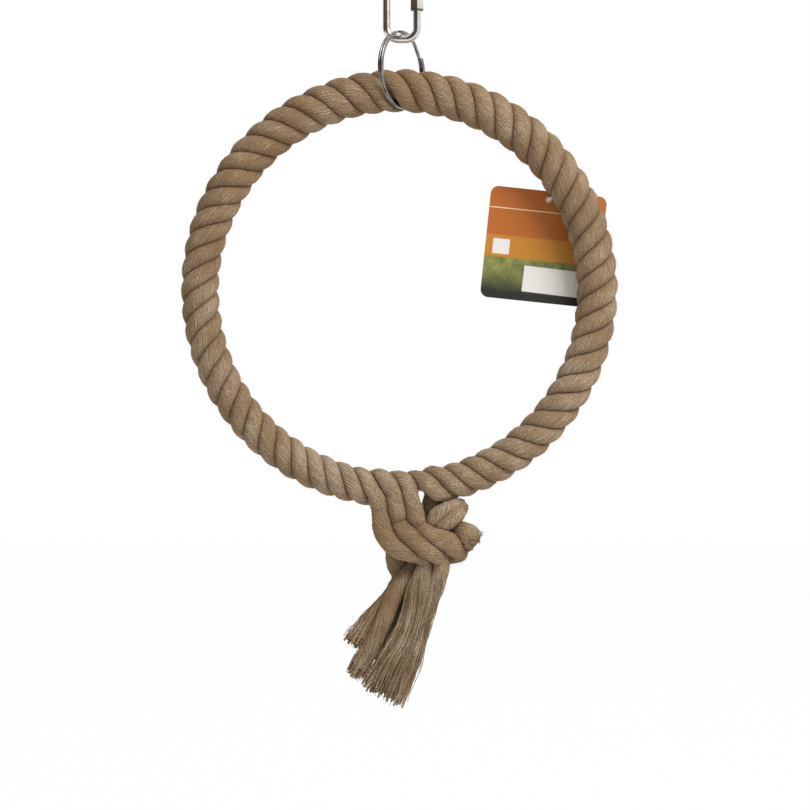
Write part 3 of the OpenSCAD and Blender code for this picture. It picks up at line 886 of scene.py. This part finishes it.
hair_tree, t, given = geometry_tree("loose_fibres", {
    "Density": "Float", "Hair Length": "Float", "Hair Radius": "Float", "Ring Seat": "Vector",
    "Card Place": "Vector", "Seed": "Int", "Finish": "Material"})
place = t.geo("InputPosition")
from_seat = t.vector("LENGTH", t.vector("SUBTRACT", place, given["Ring Seat"]))
from_card = t.vector("LENGTH", t.vector("SUBTRACT", place, given["Card Place"]))
at_back = t.above(t.axes(place)["Y"], CARD_DEPTH)
near_card = t.times(t.math("LESS_THAN", from_card, CARD_BARE), at_back)
allowed = t.times(t.above(from_seat, SEAT_BARE), t.minus(1.0, near_card))
spots = t.add("GeometryNodeDistributePointsOnFaces", {
    "Mesh": given["Geometry"], "Selection": allowed, "Density": given["Density"],
    "Seed": given["Seed"]}, distribute_method="RANDOM").outputs
hair = t.geo("CurveQuadraticBezier", {
    "Resolution": 4, "Start": (0.0, 0.0, 0.0), "Middle": (0.45, 0.0, 0.42), "End": (1.0, 0.16, 0.28)})
number = t.geo("InputIndex")
turn = chance(t, 0.0, math.tau, number, given["Seed"])
swing = t.step("FunctionNodeAxisAngleToRotation", {"Axis": (0.0, 0.0, 1.0), "Angle": turn})
facing = t.step("FunctionNodeRotateRotation", {
    "Rotation": spots["Rotation"], "Rotate By": swing}, rotation_space="LOCAL")
length = t.times(given["Hair Length"], chance(t, HAIR_SHORT, HAIR_LONG, number, HAIR_SEED))
hairs = t.geo("InstanceOnPoints", {
    "Points": spots["Points"], "Instance": hair, "Rotation": facing, "Scale": length})
hairs = t.geo("RealizeInstances", {"Geometry": hairs})
thin = t.minus(1.0, t.times(t.geo("SplineParameter"), HAIR_THINNING))
circle = t.geo("CurvePrimitiveCircle", {"Resolution": 3, "Radius": 1.0})
bodies = t.geo("CurveToMesh", {
    "Curve": hairs, "Profile Curve": circle, "Scale": t.times(given["Hair Radius"], thin)})
finish_tree(t, bodies, given["Finish"])

# %% Scatter the loose fibres
RING_SEAT = (0.0, 0.0, -81.0 * MM)
CARD_PLACE = (93.0 * MM, 0.0, -170.0 * MM)
FIRST_HAIR_SEED = 11
stray_finish = rope_material("stray_fibre", 1.9, 0.0)
for number, mesh in enumerate(strand_meshes):
    name = "loose_fibres_%d" % (number + 1)
    hairs = grow(name, mesh.copy(), hair_tree, {
        "Density": 52000.0, "Hair Length": 3.4 * MM, "Hair Radius": 0.055 * MM, "Ring Seat": RING_SEAT,
        "Card Place": CARD_PLACE, "Seed": FIRST_HAIR_SEED + number, "Finish": stray_finish})
    add_piece(name, hairs, "rope", "rope", "rope_ring")

# %% [markdown]
# ## Polished steel
# The link and its nut are bright plated steel, and the split ring is a darker spring steel. Such
# metal has almost no colour of its own: what it shows is the room. Small changes of roughness and
# a faint grain keep the reflections from looking like a perfect mirror.

# %% Steel materials
STEEL_SIZES = {"Grain Size": 1400.0, "Smudge Size": 160.0}

grain, t, given = shader_group("metal_grain", ("Grain Size", "Smudge Size"), ("Grain", "Smudge"))
fine = t.noise(t.object_place(), given["Grain Size"], detail=4.0)
broad = t.noise(t.object_place(), given["Smudge Size"])
t.add("NodeGroupOutput", {"Grain": fine, "Smudge": broad})


def steel_material(name, colour, dark, smooth, rough, bump_strength):
    material, tree, shader = new_material(name)
    group = tree.add("ShaderNodeGroup", STEEL_SIZES, node_tree=grain)
    smudge = group.outputs["Smudge"]
    finish_shader(tree, shader, {
        "Base Color": tree.ramp(smudge, [(0.3, dark), (0.7, colour)]),
        "Roughness": tree.times_plus(smudge, rough - smooth, smooth),
        "Normal": tree.bump(group.outputs["Grain"], bump_strength, 0.05 * MM),
        "Metallic": 1.0})
    return material


plated_steel = steel_material("plated_steel", (0.74, 0.73, 0.71), (0.58, 0.56, 0.53), 0.08, 0.24, 0.1)
spring_steel = steel_material("spring_steel", (0.36, 0.34, 0.31), (0.18, 0.165, 0.15), 0.08, 0.22, 0.1)
cut_steel = steel_material("cut_steel", (0.2, 0.18, 0.16), (0.1, 0.09, 0.08), 0.3, 0.5, 0.3)
drawn_steel = steel_material("drawn_steel", (0.44, 0.44, 0.45), (0.3, 0.3, 0.3), 0.3, 0.6, 0.3)
paint("core_hoop", drawn_steel)


# %% A skin over rows of points
def skin(name, rows, finish, closed=False, sharp=40):
    """A closed mesh over rings of points. closed joins the last ring to the first."""
    rows = np.asarray(rows, float)
    count, sides = rows.shape[:2]
    faces = []
    for i in range(count if closed else count - 1):
        k = (i + 1) % count
        for j in range(sides):
            n = (j + 1) % sides
            faces.append((i * sides + j, i * sides + n, k * sides + n, k * sides + j))
    if not closed:
        faces.append(tuple(range(sides))[::-1])
        faces.append(tuple(range((count - 1) * sides, count * sides)))
    mesh = bpy.data.meshes.new(name)
    mesh.from_pydata((rows.reshape(-1, 3) * MM).tolist(), [], faces)
    shape = bmesh.new()
    shape.from_mesh(mesh)
    bmesh.ops.recalc_face_normals(shape, faces=shape.faces)
    shape.to_mesh(mesh)
    shape.free()
    mesh.shade_smooth()
    mesh.set_sharp_from_angle(angle=math.radians(sharp))
    mesh.materials.append(finish)
    return mesh


# %% [markdown]
# ## Screw-lock link
# The link is one bent wire whose two ends face each other across the opening on the right. Both
# ends are threaded, and the nut bridges them. The wire is swept along its middle line, and the
# thread is a change of radius that climbs as it goes round.

# %% Link wire
LINK_R = 2.5
LEG_X = 9.5
BOW_R = 7.5
LOW_BOW, HIGH_BOW = -44.5 + BOW_R, 2.5 - BOW_R
GATE_LOW, GATE_HIGH = -23.4, -17.4
THREAD_PITCH, THREAD_DEPTH, THREAD_STEP = 0.8, 0.3, 0.1
UPPER_THREAD_TOP, LOWER_THREAD_END, THREAD_OVER = -6.2, -26.2, 0.3
PLAIN_LEG_TOP = -28
END_EDGE = 0.4
LINK_SIDES, ARC_POINTS = 28, 20

around = np.linspace(0, math.tau, LINK_SIDES, endpoint=False)


def arc(middle_x, middle_z, start, end):
    turn = np.radians(np.linspace(start, end, ARC_POINTS))
    return [(middle_x + BOW_R * math.cos(a), middle_z + BOW_R * math.sin(a)) for a in turn]


def wire_radius(x, z):
    """The radius round one point: threaded on both sides of the opening, with broken end edges."""
    if x < LEG_X - 0.01:
        return LINK_R
    threaded = GATE_HIGH <= z <= UPPER_THREAD_TOP or LOWER_THREAD_END <= z <= GATE_LOW
    climb = z / THREAD_PITCH * (1 if z > GATE_HIGH - 0.5 else -1)
    wave = np.abs(((climb + around / math.tau) % 1.0) * 2.0 - 1.0)
    end_gap = min(abs(z - GATE_LOW), abs(z - GATE_HIGH))
    return LINK_R - (THREAD_DEPTH * wave if threaded else 0.0) - max(0.0, END_EDGE - end_gap)


flat = LEG_X - BOW_R
wire_line = [(LEG_X, z) for z in np.arange(GATE_LOW, LOWER_THREAD_END - THREAD_OVER, -THREAD_STEP)]
wire_line += [(LEG_X, z) for z in np.linspace(PLAIN_LEG_TOP, LOW_BOW + 0.5, 10)]
wire_line += arc(flat, LOW_BOW, 0, -90) + arc(-flat, LOW_BOW, -90, -180)
wire_line += [(-LEG_X, z) for z in np.linspace(LOW_BOW + 1, HIGH_BOW - 1, 24)]
wire_line += arc(-flat, HIGH_BOW, 180, 90) + arc(flat, HIGH_BOW, 90, 0)
wire_line += [(LEG_X, z) for z in np.arange(UPPER_THREAD_TOP + THREAD_OVER, GATE_HIGH, -THREAD_STEP)]
wire_line.append((LEG_X, GATE_HIGH))
wire_places = np.array([(x, 0.0, z) for x, z in wire_line])
rows = []
for place, side, up in zip(wire_places, *path_frame(wire_places)[1:]):
    radius = wire_radius(place[0], place[2])
    rows.append(place + (radius * np.cos(around))[:, None] * side + (radius * np.sin(around))[:, None] * up)
add_piece("link_wire", skin("link_wire", rows, plated_steel), "link", "polished_steel", "quick_link")

# %% [markdown]
# ## Nut of the link
# A long hexagon nut. Its corners are turned off at both ends, which leaves the curved edges that
# a chamfered hexagon has, so each ring of points takes the smaller of the hexagon and a cone. The
# lower chamfer and the lower face are dull, as cut metal is.

# %% Hexagon nut
NUT_BOTTOM, NUT_LENGTH = -26.4, 11.0
NUT_R, NUT_BORE = 4.0, 2.58
CORNER_OFF = 0.08
CHAMFER_IN, CHAMFER_SLOPE, DULL_RISE = 0.25, 1.3, 0.75
BORE_EDGE = 0.5
EDGE_RISES = (0.0, 0.12, 0.3, 0.5, 0.75, 1.0)

around = np.radians(np.arange(0, 360, 4.0))
to_flat = np.radians((np.degrees(around) + 30) % 60 - 30)
hexagon = np.minimum(NUT_R / np.cos(to_flat), NUT_R / math.cos(math.radians(30)) - CORNER_OFF)


def nut_ring(rise, radius):
    height = np.full_like(around, NUT_BOTTOM + rise)
    return np.stack([LEG_X + radius * np.cos(around), radius * np.sin(around), height], axis=1)


rows = []
for rise in (*EDGE_RISES, NUT_LENGTH / 2, *(NUT_LENGTH - edge for edge in EDGE_RISES[::-1])):
    cone = NUT_R - CHAMFER_IN + min(rise, NUT_LENGTH - rise) * CHAMFER_SLOPE
    rows.append(nut_ring(rise, np.minimum(hexagon, cone)))
rows += [nut_ring(NUT_LENGTH, NUT_BORE + BORE_EDGE), nut_ring(NUT_LENGTH - BORE_EDGE, NUT_BORE),
         nut_ring(BORE_EDGE, NUT_BORE), nut_ring(0.0, NUT_BORE + BORE_EDGE)]
nut_mesh = skin("hexagon_nut", rows, plated_steel, closed=True, sharp=24)
nut_mesh.materials.append(cut_steel)
for face in nut_mesh.polygons:
    face.material_index = int(face.center.z < (NUT_BOTTOM + DULL_RISE) * MM)
add_piece("hexagon_nut", nut_mesh, "nut", "polished_steel", "link_nut")

# %% [markdown]
# ## Split ring
# One flat wire is wound nearly twice round. It steps from one plane to the other in a short
# crossing. One end lies at the top, in the link, and the other on the right. The wire's edges are
# rounded, because sharp ones would not catch the light.

# %% Wind the split ring
SPLIT_R = 23.3
WIRE_W, WIRE_T, TURN_PITCH = 2.6, 1.35, 1.7
WIRE_ROUND = 0.45
WIND_START, WIND_END, WIND_STEP = 30.0, 690.0, 2.5
CROSSING = 40.0
ENDS_AT, END_TAPER = 56.0, 0.25


def wire_section():
    """Radial and axial offsets round the flat wire, with rounded corners."""
    corners = []
    for k, signs in enumerate(((1, 1), (-1, 1), (-1, -1), (1, -1))):
        middle = np.array((WIRE_W / 2 - WIRE_ROUND, WIRE_T / 2 - WIRE_ROUND)) * signs
        for a in np.radians(np.linspace(90 * k, 90 * k + 90, 4)):
            corners.append(middle + WIRE_ROUND * np.array((math.cos(a), math.sin(a))))
    return np.array(corners)


section = wire_section()
rows = []
for a in np.arange(WIND_START, WIND_END + 0.1, WIND_STEP):
    u = min(max((a - 360.0) / CROSSING + 0.5, 0.0), 1.0)
    level = TURN_PITCH * (u * u * (3 - 2 * u) - 0.5)
    from_end = min(a - WIND_START, WIND_END - a)
    size = 1.0 - END_TAPER * max(0.0, 1.0 - from_end / WIND_STEP)
    radial = SPLIT_R + section[:, 0] * size
    axial = level + section[:, 1] * size
    turn = math.radians(a + ENDS_AT)
    rows.append(SPLIT_MIDDLE + np.outer(radial * math.cos(turn), SPLIT_ALONG)
                + np.outer(radial * math.sin(turn), (0, 0, 1)) + np.outer(axial, SPLIT_NORMAL))
split_mesh = skin("split_ring_wire", rows, spring_steel, sharp=50)
add_piece("split_ring_wire", split_mesh, "split", "polished_steel", "split_ring")

# %% [markdown]
# ## Card tag and its pin
# The tag is a printed card, flat and stiff, so the solid's shape is right and only its finish is
# made here. Plain bands of orange, amber and green with two blank white panels give it the colours
# of a shop tag, with nothing written on it. The bands follow the card's own directions, so the
# coordinates are first brought to the hole and turned by the card's lean.

# %% Printed card
HOLE = np.array((93.146, 14.2, -143.831))
TAG_LEAN, PANEL_LEAN = 6.0, 1.0
ORANGE, AMBER = linear(188, 104, 34), linear(190, 126, 36)
GREEN, MOSS, NIGHT = linear(148, 148, 76), linear(90, 102, 56), linear(32, 36, 33)
PALE, PANEL = linear(236, 206, 158), linear(226, 224, 218)
DIM_ORANGE = tuple(c * 0.82 for c in ORANGE)
PALE_LINE, AMBER_BAND, GREEN_BAND = (-8.3, -7.6, 0.1), (-39.2, -25.2, 0.4), (-80.0, -39.2, 0.5)
NIGHT_FALLS = (-46.0, -61.0)
SMALL_PANEL = ((-32.2, -21.6), (-37.2, -27.6))
LARGE_PANEL = ((-10.0, 30.0), (-59.6, -43.2))

card, t, shader = new_material("printed_card")


def turn_in_plane(vector, degrees, size):
    return t.step("ShaderNodeMapping", {
        "Vector": vector, "Rotation": (0.0, math.radians(-degrees), 0.0), "Scale": (size, size, size)})


def band(value, low, high, soft=0.25):
    """1 between two places on the card, measured from the hole."""
    return t.times(t.change(value, low - soft, low + soft), t.change(value, high + soft, high - soft))


def panel(vector, across, upwards):
    axes = t.axes(vector)
    return t.times(band(axes["X"], *across), band(axes["Z"], *upwards))


turned = turn_in_plane(t.vector("SUBTRACT", t.object_place(), tuple(HOLE * MM)), TAG_LEAN, TO_MM)
up_card = t.axes(turned)["Z"]
mottle = t.noise(t.object_place(), 90.0, detail=4.0, rough=0.65)
colour = t.ramp(t.times_plus(up_card, 0.02, 0.95), [(0.0, DIM_ORANGE), (1.0, ORANGE)])
colour = t.mix(band(up_card, *PALE_LINE), colour, PALE)
colour = t.mix(band(up_card, *AMBER_BAND), colour, AMBER)
wild = t.ramp(mottle, [(0.36, MOSS), (0.62, GREEN)])
wild = t.mix(t.change(up_card, *NIGHT_FALLS), wild, NIGHT)
colour = t.mix(band(up_card, *GREEN_BAND), colour, wild)
colour = t.mix(panel(turned, *SMALL_PANEL), colour, PANEL)
colour = t.mix(panel(turn_in_plane(turned, PANEL_LEAN, 1.0), *LARGE_PANEL), colour, PANEL)
facing = t.axes(t.add("ShaderNodeNewGeometry").outputs["Normal"])["Y"]
on_face = t.above(t.math("ABSOLUTE", facing), 0.5)
finish_shader(t, shader, {
    "Base Color": t.mix(on_face, PANEL, colour),
    "Roughness": t.times_plus(mottle, 0.14, 0.34),
    "Normal": t.bump(t.noise(t.object_place(), 900.0, detail=3.0), 0.08, 0.1 * MM)})
paint("hang_tag", card)

# %% Nylon pin
nylon, t, shader = new_material("clear_nylon")
haze = t.noise(t.object_place(), 700.0, detail=3.0)
finish_shader(t, shader, {
    "Base Color": t.ramp(haze, [(0.3, (0.84, 0.83, 0.8)), (0.7, (0.92, 0.91, 0.88))]),
    "Roughness": t.times_plus(haze, 0.2, 0.25)})
paint("tag_pin", nylon)

# %% [markdown]
# ## Studio
# The swing hangs before a white ground, so the world and the floor are white to the camera. In
# reflections the room is white too, except for a brown side to the left of the camera, which
# gives the steel its dark edges. The light on the object is plain: one broad soft lamp above, to
# the right and in front, and an even sky.

# %% World, floor and lamp
WHITE = (1.0, 1.0, 1.0)
ROOM_BROWN = linear(96, 80, 66)
ROOM_X, ROOM_Y = 0.74, 0.67
BROWN_UNTIL, WHITE_FROM = -0.5, -0.25
FLOOR_Z, FLOOR_HALF = -0.62, 4.0
FLOOR_GLOW = 0.985


def in_mirror(tree, rays):
    return tree.larger(rays["Is Glossy Ray"], rays["Is Transmission Ray"])


world = bpy.data.worlds.new("studio")
bpy.context.scene.world = world
t = bare_tree(world)
rays = t.add("ShaderNodeLightPath").outputs
direction = t.axes(t.add("ShaderNodeTexCoord").outputs["Generated"])
sideways = t.times_plus(direction["X"], ROOM_X, t.times(direction["Y"], ROOM_Y))
room = t.mix(t.change(sideways, BROWN_UNTIL, WHITE_FROM), ROOM_BROWN, WHITE)
sky = t.step("ShaderNodeBackground", {"Color": (1.0, 0.99, 0.98, 1.0), "Strength": 0.5})
seen = t.step("ShaderNodeBackground", {"Color": (*WHITE, 1.0), "Strength": 1.0})
mirrored = t.step("ShaderNodeBackground", {"Color": room, "Strength": 1.0})
lit = t.step("ShaderNodeMixShader", {0: in_mirror(t, rays), 1: sky, 2: mirrored})
shown = t.step("ShaderNodeMixShader", {0: rays["Is Camera Ray"], 1: lit, 2: seen})
t.add("ShaderNodeOutputWorld", {"Surface": shown})

paper = bpy.data.materials.new("white_ground")
t = bare_tree(paper)
rays = t.add("ShaderNodeLightPath").outputs
matt = t.step("ShaderNodeBsdfDiffuse", {"Color": (0.9, 0.9, 0.9, 1.0)})
glow = t.step("ShaderNodeEmission", {"Color": (*WHITE, 1.0), "Strength": 1.0})
glowing = t.larger(t.times(rays["Is Camera Ray"], FLOOR_GLOW), in_mirror(t, rays))
t.add("ShaderNodeOutputMaterial", {"Surface": t.step("ShaderNodeMixShader", {0: glowing, 1: matt, 2: glow})})

corners = [(x * FLOOR_HALF, y * FLOOR_HALF, FLOOR_Z) for x, y in ((-1, -1), (1, -1), (1, 1), (-1, 1))]
floor_mesh = bpy.data.meshes.new("floor")
floor_mesh.from_pydata(corners, [], [(0, 1, 2, 3)])
floor_mesh.materials.append(paper)
floor = add_object("floor", floor_mesh)

lamp_data = bpy.data.lights.new("key_lamp", "AREA")
lamp_data.energy = 21.0
lamp_data.size = 0.8
lamp = add_object("key_lamp", lamp_data)
lamp.location = (0.7, -0.95, 0.8)
lamp.rotation_euler = (PICTURE_MIDDLE - lamp.location).to_track_quat("-Z", "Y").to_euler()
print("studio ready")
